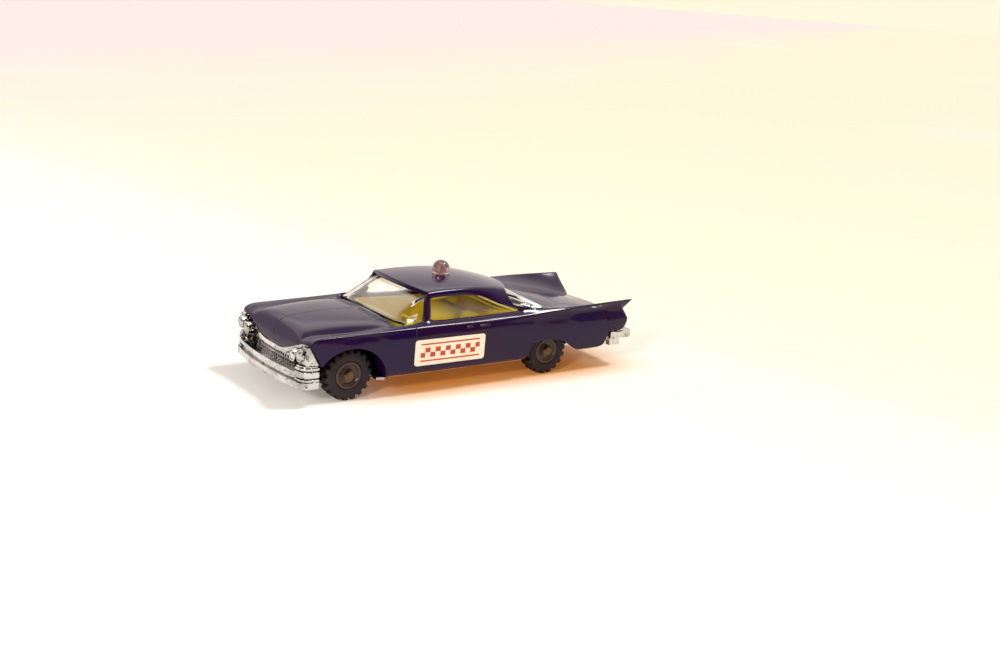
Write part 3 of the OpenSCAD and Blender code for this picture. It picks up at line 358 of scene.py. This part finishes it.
def make_label_film():
    low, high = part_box("door_label_left")
    middle = (low + high) / 2
    material, t, shader = make_material("label_film", Specular_IOR_Level=0.45)
    coords, wear = worn(t, 0.42, 0.15)
    place = t.add("ShaderNodeSeparateXYZ", Vector=coords).outputs
    x = t.math("SUBTRACT", place[0], middle.x)
    z = t.math("SUBTRACT", place[2], middle.z)
    reach = (high.x - low.x) / 2 - BAND_MARGIN

    def inside(value, half):
        return t.smooth(t.math("ABSOLUTE", value), half + PRINT_EDGE, half - PRINT_EDGE)

    def wave(value, step):
        """Above 0 in every other step."""
        return t.math("SINE", t.math("MULTIPLY", value, math.pi / step))

    checks = t.smooth(t.math("MULTIPLY", wave(x, CHECK_W), wave(z, CHECK_H)), -0.05, 0.05)
    band = t.math("MULTIPLY", inside(z, CHECK_ROWS * CHECK_H / 2), inside(x, reach))
    off_line = t.math("SUBTRACT", t.math("ABSOLUTE", z), LINE_Z)
    lines = t.math("MULTIPLY", inside(off_line, LINE_T / 2), inside(x, reach))
    print_mask = t.math("MAXIMUM", t.math("MULTIPLY", checks, band), lines)
    ink = t.math("MULTIPLY", print_mask, t.smooth(t.noise(coords, 900, 4, 0.7), 0.2, 0.34))
    film = t.mix(t.smooth(wear["Rub"], 0.3, 0.7), (0.86, 0.74, 0.54, 1), (0.92, 0.83, 0.66, 1))
    colour = t.mix(ink, film, (0.52, 0.045, 0.02, 1))
    t.put(shader, "Base Color", dusty(t, coords, 0.05, colour, DUST_COLOUR))
    t.put(shader, "Roughness", wear["Rough"])
    t.put(shader, "Normal", t.bump(t.math("MULTIPLY_ADD", ink, 0.6, wear["Height"]), 0.15, 0.02 * MM))
    return material


# Meshes
def add_piece(bm, name, body, material, replaces=(), sharp=35):
    """Puts a finished mesh in the scene, on its body and in place of its solids."""
    mesh = bpy.data.meshes.new(name)
    bm.to_mesh(mesh)
    bm.free()
    mesh.materials.append(material)
    mesh.shade_smooth()
    if sharp:
        mesh.set_sharp_from_angle(angle=math.radians(sharp))
    piece = bpy.data.objects.new(name, mesh)
    bpy.context.scene.collection.objects.link(piece)
    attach(piece, body)
    if replaces:
        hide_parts(*replaces)
    return piece


def soften(piece, width, segments=2, angle=30):
    bevel = piece.modifiers.new("soft_edges", "BEVEL")
    bevel.width = width
    bevel.segments = segments
    bevel.limit_method = "ANGLE"
    bevel.angle_limit = math.radians(angle)
    bevel.harden_normals = False
    return piece


def round_off(piece, levels):
    subsurf = piece.modifiers.new("smooth_form", "SUBSURF")
    subsurf.levels = levels
    subsurf.render_levels = levels
    return piece


def welded(node):
    """A merged copy of a solid's mesh."""
    bm = bmesh.new()
    bm.from_mesh(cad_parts[node].data)
    bmesh.ops.remove_doubles(bm, verts=bm.verts, dist=MERGE)
    return bm


def to_quads(bm, flat):
    bmesh.ops.join_triangles(bm, faces=bm.faces, angle_face_threshold=math.radians(flat),
                             angle_shape_threshold=math.radians(180))


def crease_sharp(bm, low, high, most):
    """Holds the edges that bend by more than low degrees, most of all those past high degrees."""
    layer = bm.edges.layers.float.new("crease_edge")
    for edge in bm.edges:
        if len(edge.link_faces) == 2:
            bend = math.degrees(edge.calc_face_angle(0))
            edge[layer] = most * min(max((bend - low) / (high - low), 0), 1)


def drop_core(bm, centre_x, radius, low, high):
    """Takes out a hole or post on the middle line and closes the skin where it was."""
    core = [v for v in bm.verts
            if math.hypot(v.co.x - centre_x, v.co.y) < radius and low < v.co.z < high]
    bmesh.ops.delete(bm, geom=core, context="VERTS")
    rim = [e for e in bm.edges if len(e.link_faces) == 1]
    bmesh.ops.holes_fill(bm, edges=rim)


def turn_profile(profile, steps):
    """Spins a profile of (radius, place along the axle) pairs about Y into a closed ring."""
    bm = bmesh.new()
    verts = [bm.verts.new((r * MM, y * MM, 0)) for r, y in profile]
    edges = [bm.edges.new((verts[k], verts[(k + 1) % len(verts)])) for k in range(len(verts))]
    bmesh.ops.spin(bm, geom=verts + edges, cent=(0, 0, 0), axis=(0, 1, 0), angle=math.tau, steps=steps,
                   use_merge=True)
    bmesh.ops.remove_doubles(bm, verts=bm.verts, dist=MERGE)
    bmesh.ops.recalc_face_normals(bm, faces=bm.faces)
    return bm


# Body, glazing, interior and base
LAMP_HOLE_R = 0.66 * MM
POST_R = 1.5 * MM
POST_TOP = 11 * MM
HANDLE_RUNS = ((-0.35 * MM, 2.5 * MM), (2.8 * MM, 1.6 * MM))
HANDLE_Z = 10.97 * MM
HANDLE_R = 0.24 * MM
CLEAR_Y = 20 * MM


def add_handles(bm):
    """Two short rounded bars on each door, where a line from the side meets the skin."""
    skin = BVHTree.FromBMesh(bm)
    for middle, run in HANDLE_RUNS:
        for side in (-1, 1):
            seat = skin.ray_cast(Vector((middle, side * CLEAR_Y, HANDLE_Z)), Vector((0, -side, 0)))[0]
            bar = bmesh.ops.create_uvsphere(bm, u_segments=12, v_segments=8, radius=HANDLE_R,
                                            matrix=Matrix.Translation(seat))["verts"]
            for vert in bar:
                if abs(vert.co.x - seat.x) > MERGE:
                    vert.co.x += math.copysign(run / 2 - HANDLE_R, vert.co.x - seat.x)


def make_shell():
    lamp_low, lamp_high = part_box("roof_lamp")
    bm = welded("body_shell")
    drop_core(bm, (lamp_low.x + lamp_high.x) / 2, LAMP_HOLE_R, 0, 1)
    for rivet in ("front_rivet", "rear_rivet"):
        low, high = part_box(rivet)
        drop_core(bm, (low.x + high.x) / 2, POST_R, 0, POST_TOP)
    to_quads(bm, 60)
    crease_sharp(bm, 28, 75, 0.8)
    add_handles(bm)
    shell = add_piece(bm, "cast_shell", "chassis", ENAMEL, ["body_shell"], sharp=0)
    round_off(shell, 2)


def make_glazing():
    bm = welded("window_unit")
    to_quads(bm, 50)
    crease_sharp(bm, 40, 80, 0.9)
    round_off(add_piece(bm, "glazing", "chassis", GLAZING, ["window_unit"], sharp=0), 2)


def flattened(node):
    """A merged copy of a solid's mesh with its flat faces whole."""
    bm = welded(node)
    bmesh.ops.dissolve_limit(bm, angle_limit=math.radians(1), verts=bm.verts, edges=bm.edges)
    return bm


def make_seats():
    tub = add_piece(flattened("interior"), "seat_tub", "chassis", SEATS, ["interior"])
    soften(tub, 0.14 * MM)


# Base: the long edges of its bumper bars are rounded first, so that the bars shade like tubes
BAR_REACH = 29.55 * MM
BAR_ROUND = 0.2 * MM
BAR_LOW = 3 * MM
BAR_HIGH = 7 * MM
BAR_BEND = math.radians(60)
FACE_X = 33.7 * MM
FLANK_Y = 11.4 * MM


def is_bar_edge(edge):
    a, b = edge.verts[0].co, edge.verts[1].co
    outside = min(abs(a.x), abs(b.x)) > BAR_REACH and min(a.z, b.z) < BAR_HIGH
    level = abs(a.z - b.z) < MERGE and min(a.z, b.z) > BAR_LOW
    return outside and level and len(edge.link_faces) == 2 and edge.calc_face_angle_signed(0) > BAR_BEND


def is_proud(edge):
    """On the front of a bar, ahead of the grille and the lamps, or on the bar round the tail."""
    middle = (edge.verts[0].co + edge.verts[1].co) / 2
    return middle.x > FACE_X or middle.x < 0 or abs(middle.y) > FLANK_Y


def make_base():
    bm = flattened("base_plate")
    edges = [e for e in bm.edges if is_bar_edge(e) and is_proud(e)]
    bmesh.ops.bevel(bm, geom=edges, offset=BAR_ROUND, offset_type="OFFSET", affect="EDGES", segments=4,
                    profile=0.5, material=-1, clamp_overlap=True)
    soften(add_piece(bm, "bright_base", "chassis", PLATING, ["base_plate"]), 0.05 * MM)


def make_labels():
    for side in ("left", "right"):
        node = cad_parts["door_label_" + side]
        node.data.materials.clear()
        node.data.materials.append(LABEL)


# Roof lamp: a capsule with a thick wall round a core
def make_roof_lamp():
    low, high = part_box("roof_lamp")
    middle = (low + high) / 2
    radius = (high.x - low.x) / 2 / MM
    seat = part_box("body_shell")[1].z / MM
    tall = high.z / MM - seat
    dome = [(radius * math.cos(math.radians(a)), tall * (0.4 + 0.6 * math.sin(math.radians(a))))
            for a in range(0, 85, 12)] + [(0.12, tall * 0.999), (0.001, tall)]
    outer = [(0.001, 0.0), (radius * 0.96, 0.0), (radius, 0.06)] + dome
    core = [(0.001, 0.1), (radius * 0.42, 0.1), (radius * 0.4, tall * 0.45), (radius * 0.2, tall * 0.62),
            (0.001, tall * 0.66)]
    for name, profile, material in (("lamp_dome", outer, LAMP), ("lamp_core", core, LAMP_CORE)):
        bm = turn_profile(profile, 48)
        bmesh.ops.rotate(bm, verts=bm.verts, cent=(0, 0, 0), matrix=Matrix.Rotation(math.radians(90), 3, "X"))
        bmesh.ops.translate(bm, verts=bm.verts, vec=(middle.x, middle.y, seat * MM))
        bmesh.ops.recalc_face_normals(bm, faces=bm.faces)
        add_piece(bm, name, "chassis", material, ["roof_lamp"] if name == "lamp_dome" else ())


# Wheels: lugged tyres on dished hubs
LUGS = 18
TYRE_R = 4.35
TREAD_R = 3.9
HUB_R = 2.45
TYRE_W = 3.0
LUG_SHRINK = 0.9
SHOULDER_R = 3.6
BORE_R = 0.76


def tyre_mesh():
    """One tyre about Y, its outer face at y = 0: a ring with blocks raised in two staggered rows."""
    side = [(HUB_R, 0.22), (HUB_R + 0.12, 0.06), (HUB_R + 0.35, 0.0), (3.3, 0.0), (3.62, 0.08), (3.8, 0.2),
            (TREAD_R, 0.42), (TREAD_R, TYRE_W / 2)]
    profile = [(r, -y) for r, y in side] + [(r, y - TYRE_W) for r, y in reversed(side[:-1])]
    bm = turn_profile(profile, 2 * LUGS)
    pitch = math.pi / LUGS
    for outer in (True, False):
        blocks = {}
        for face in bm.faces:
            spot = face.calc_center_median()
            row = -spot.y < TYRE_W / 2 * MM
            step = int((math.atan2(spot.z, spot.x) % math.tau) // pitch)
            if math.hypot(spot.x, spot.z) > SHOULDER_R * MM and row == outer and step % 2 == int(outer):
                blocks.setdefault(step, []).append(face)
        for faces in blocks.values():
            raise_block(bm, faces)
    bmesh.ops.recalc_face_normals(bm, faces=bm.faces)
    return bm


def raise_block(bm, faces):
    made = bmesh.ops.extrude_face_region(bm, geom=faces)["geom"]
    bmesh.ops.delete(bm, geom=faces, context="FACES_ONLY")
    tops = [v for v in made if isinstance(v, bmesh.types.BMVert)]
    spot = sum((v.co for v in tops), Vector()) / len(tops)
    for v in tops:
        radius = math.hypot(v.co.x, v.co.z)
        grown = (radius + (TYRE_R - TREAD_R) * MM) / radius
        v.co = Vector((v.co.x * grown, spot.y + (v.co.y - spot.y) * LUG_SHRINK, v.co.z * grown))


def hub_mesh():
    """One hub about Y, its tyre's outer face at y = 0: rim, dish, a raised ring and the boss."""
    face = [(BORE_R, -0.15), (1.0, -0.15), (1.1, -0.2), (1.14, -0.5), (1.3, -0.54), (1.45, -0.5), (1.6, -0.42),
            (1.74, -0.42), (1.86, -0.22), (1.98, -0.16), (2.25, -0.16), (HUB_R - 0.06, -0.24), (HUB_R - 0.01, -0.32)]
    return turn_profile(face + [(HUB_R - 0.01, 0.2 - TYRE_W), (BORE_R, 0.2 - TYRE_W)], 64)


def make_wheels():
    for corner in CORNERS:
        low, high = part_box("tyre_" + corner)
        middle = (low + high) / 2
        left = corner.endswith("left")
        flip = Matrix.Identity(3) if left else Matrix.Rotation(math.pi, 3, "Z")
        face_y = high.y if left else low.y
        for kind, mesh, material, slot in (("tyre", tyre_mesh, RUBBER, "tyre_rubber"),
                                           ("hub", hub_mesh, HUB, "hub_plastic")):
            bm = mesh()
            bmesh.ops.rotate(bm, verts=bm.verts, cent=(0, 0, 0), matrix=flip)
            bmesh.ops.translate(bm, verts=bm.verts, vec=(middle.x, face_y, middle.z))
            piece = add_piece(bm, "wheel_" + kind + "_" + corner, "wheel_" + corner, material,
                              [kind + "_" + corner])
            if kind == "tyre":
                soften(piece, 0.07 * MM)


def make_bare_metal():
    for name in ("front_axle", "rear_axle", "front_rivet", "rear_rivet"):
        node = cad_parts[name]
        node.data.materials.clear()
        node.data.materials.append(STEEL)


# Stage
FLOOR_R = 30.0
CREAM = (1.0, 0.955, 0.74, 1)
PAPER = (0.95, 0.94, 0.93, 1)
# Painted warm light on the floor towards the car's tail
PAINTED_WARM_LIGHT_TINT = (0.9, 0.85, 0.68, 1)
ROSY_PAPER = (0.9, 0.79, 0.77, 1)
# Painted shadow: orange shade on the floor under the car, in its colour and in its glow
PAINTED_WARM_SHADOW = (0.85, 0.36, 0.085, 1)
PAINTED_SHADOW_GLOW_COLOUR = (0.9, 0.36, 0.08, 1)
GLOW = 0.16
ROOM_DARK = (0.05, 0.035, 0.03, 1)
ROOM_PALE = (1.0, 0.9, 0.87, 1)
ROOM_SHEET = (2.0, 1.9, 1.8, 1)
ROOM_LIGHT = (0.46, 0.42, 0.39, 1)
KEY_POWER = 1.85
KEY_ANGLE = math.radians(12)
KEY_COLOUR = (1.0, 0.98, 0.95)
KEY_WAY = (0.48, -0.16, -0.86)
FILL_PLACE = (0.45, 0.3, 0.24)
FILL_AIM = (0, 0, 0.012)
FILL_SIZE = 0.07
FILL_POWER = 1.8
FILL_COLOUR = (1.0, 0.93, 0.82)


def make_floor():
    bm = bmesh.new()
    bmesh.ops.create_circle(bm, cap_ends=True, segments=64, radius=FLOOR_R)
    mesh = bpy.data.meshes.new("floor")
    bm.to_mesh(mesh)
    bm.free()
    floor = bpy.data.objects.new("floor", mesh)
    bpy.context.scene.collection.objects.link(floor)
    material, t, shader = make_material("paper_floor", Roughness=0.9, Specular_IOR_Level=0.1)
    coords = t.coords()
    x, y, _ = t.add("ShaderNodeSeparateXYZ", Vector=coords).outputs
    across = t.math("ADD", t.math("MULTIPLY", x, -1.0), t.math("MULTIPLY", y, -0.12))
    # Painted warm light: the floor colour turns yellower towards the car's tail.
    warm = t.math("MULTIPLY", t.smooth(across, -0.06, 0.12), t.smooth(t.noise(coords, 2, 2, 0.5), 0.0, 0.45))
    paper_with_painted_light = t.mix(warm, PAPER, PAINTED_WARM_LIGHT_TINT)
    rosy = t.smooth(t.math("SUBTRACT", t.math("MULTIPLY", x, 0.6), t.math("MULTIPLY", y, 0.8)), 0.1, 0.6)
    paper_with_painted_light = t.mix(rosy, paper_with_painted_light, ROSY_PAPER)
    # Painted shadow: an orange shaded patch on the floor under the car, in its colour and in the glow that the
    # camera sees.
    painted_shadow_mask = t.math("MULTIPLY", t.smooth(t.math("ABSOLUTE", t.math("ADD", x, 6 * MM)), 38 * MM, 16 * MM),
                  t.smooth(t.math("ABSOLUTE", t.math("ADD", y, 2 * MM)), 21 * MM, 11 * MM))
    t.put(shader, "Base Color", t.mix(painted_shadow_mask, paper_with_painted_light, PAINTED_WARM_SHADOW))
    path = t.add("ShaderNodeLightPath").outputs
    seen = t.math("MAXIMUM", path["Is Camera Ray"], path["Is Glossy Ray"])
    seen = t.math("MAXIMUM", seen, path["Is Transmission Ray"])
    glow = t.add("ShaderNodeEmission", Color=t.mix(painted_shadow_mask, paper_with_painted_light, PAINTED_SHADOW_GLOW_COLOUR), Strength=t.math("MULTIPLY", seen, GLOW))
    lit = t.add("ShaderNodeAddShader", i0=shader.outputs[0], i1=glow.outputs[0])
    t.put(material.node_tree.nodes["Material Output"], "Surface", lit.outputs[0])
    mesh.materials.append(material)


def make_world():
    """A warm room, pale behind the car and dark on the side where the camera stands."""
    world = bpy.data.worlds.new("room")
    world.use_nodes = True
    bpy.context.scene.world = world
    t = Tree(world.node_tree)
    way = t.add("ShaderNodeSeparateXYZ", Vector=t.add("ShaderNodeTexCoord").outputs["Generated"]).outputs
    behind = t.smooth(t.math("ADD", t.math("MULTIPLY", way[1], -0.8), t.math("MULTIPLY", way[0], -0.6)), -0.35, 0.45)
    sheet = t.math("MULTIPLY", behind, t.smooth(way[2], 0.4, 0.52))
    sheet = t.math("MULTIPLY", sheet, t.smooth(way[2], 0.85, 0.7))
    colour = t.mix(behind, ROOM_DARK, ROOM_PALE)
    colour = t.mix(sheet, colour, ROOM_SHEET)
    path = t.add("ShaderNodeLightPath").outputs
    plain = t.mix(path["Is Diffuse Ray"], colour, ROOM_LIGHT)
    background = world.node_tree.nodes["Background"]
    t.put(background, "Color", t.mix(path["Is Camera Ray"], plain, CREAM))
    t.put(background, "Strength", 1.0)


def make_key():
    """The broad lamp over the car, a little behind it."""
    data = bpy.data.lights.new("key", "SUN")
    data.energy = KEY_POWER
    data.angle = KEY_ANGLE
    data.color = KEY_COLOUR
    lamp = bpy.data.objects.new("key", data)
    lamp.rotation_euler = Vector(KEY_WAY).to_track_quat("-Z", "Y").to_euler()
    bpy.context.scene.collection.objects.link(lamp)


def make_area(name, place, aim, size, power, colour):
    data = bpy.data.lights.new(name, "AREA")
    data.size = size
    data.energy = power
    data.color = colour
    lamp = bpy.data.objects.new(name, data)
    lamp.location = Vector(place)
    lamp.rotation_euler = (Vector(aim) - Vector(place)).to_track_quat("-Z", "Y").to_euler()
    bpy.context.scene.collection.objects.link(lamp)


def make_lamps():
    make_key()
    make_area("front_fill", FILL_PLACE, FILL_AIM, FILL_SIZE, FILL_POWER, FILL_COLOUR)


DUST = make_settled_dust()
HANDLING = make_handling()
LINES = make_panel_lines()
ENAMEL = make_enamel()
PLATING = make_plating()
GLAZING = make_glazing_plastic()
SEATS = make_seat_plastic()
LAMP = make_lamp_plastic("lamp_plastic", 0.95, (0.8, 0.56, 0.52, 1), (0.88, 0.68, 0.63, 1))
LAMP_CORE = make_lamp_plastic("lamp_core_plastic", 0.4, (0.55, 0.3, 0.26, 1), (0.75, 0.52, 0.46, 1))
RUBBER = make_rubber()
HUB = make_hub_plastic()
STEEL = make_wire_steel()
LABEL = make_label_film()

make_camera()
make_shell()
make_glazing()
make_seats()
make_base()
make_labels()
make_roof_lamp()
make_wheels()
make_bare_metal()
make_floor()
make_world()
make_lamps()

bpy.context.scene.view_settings.view_transform = "Standard"
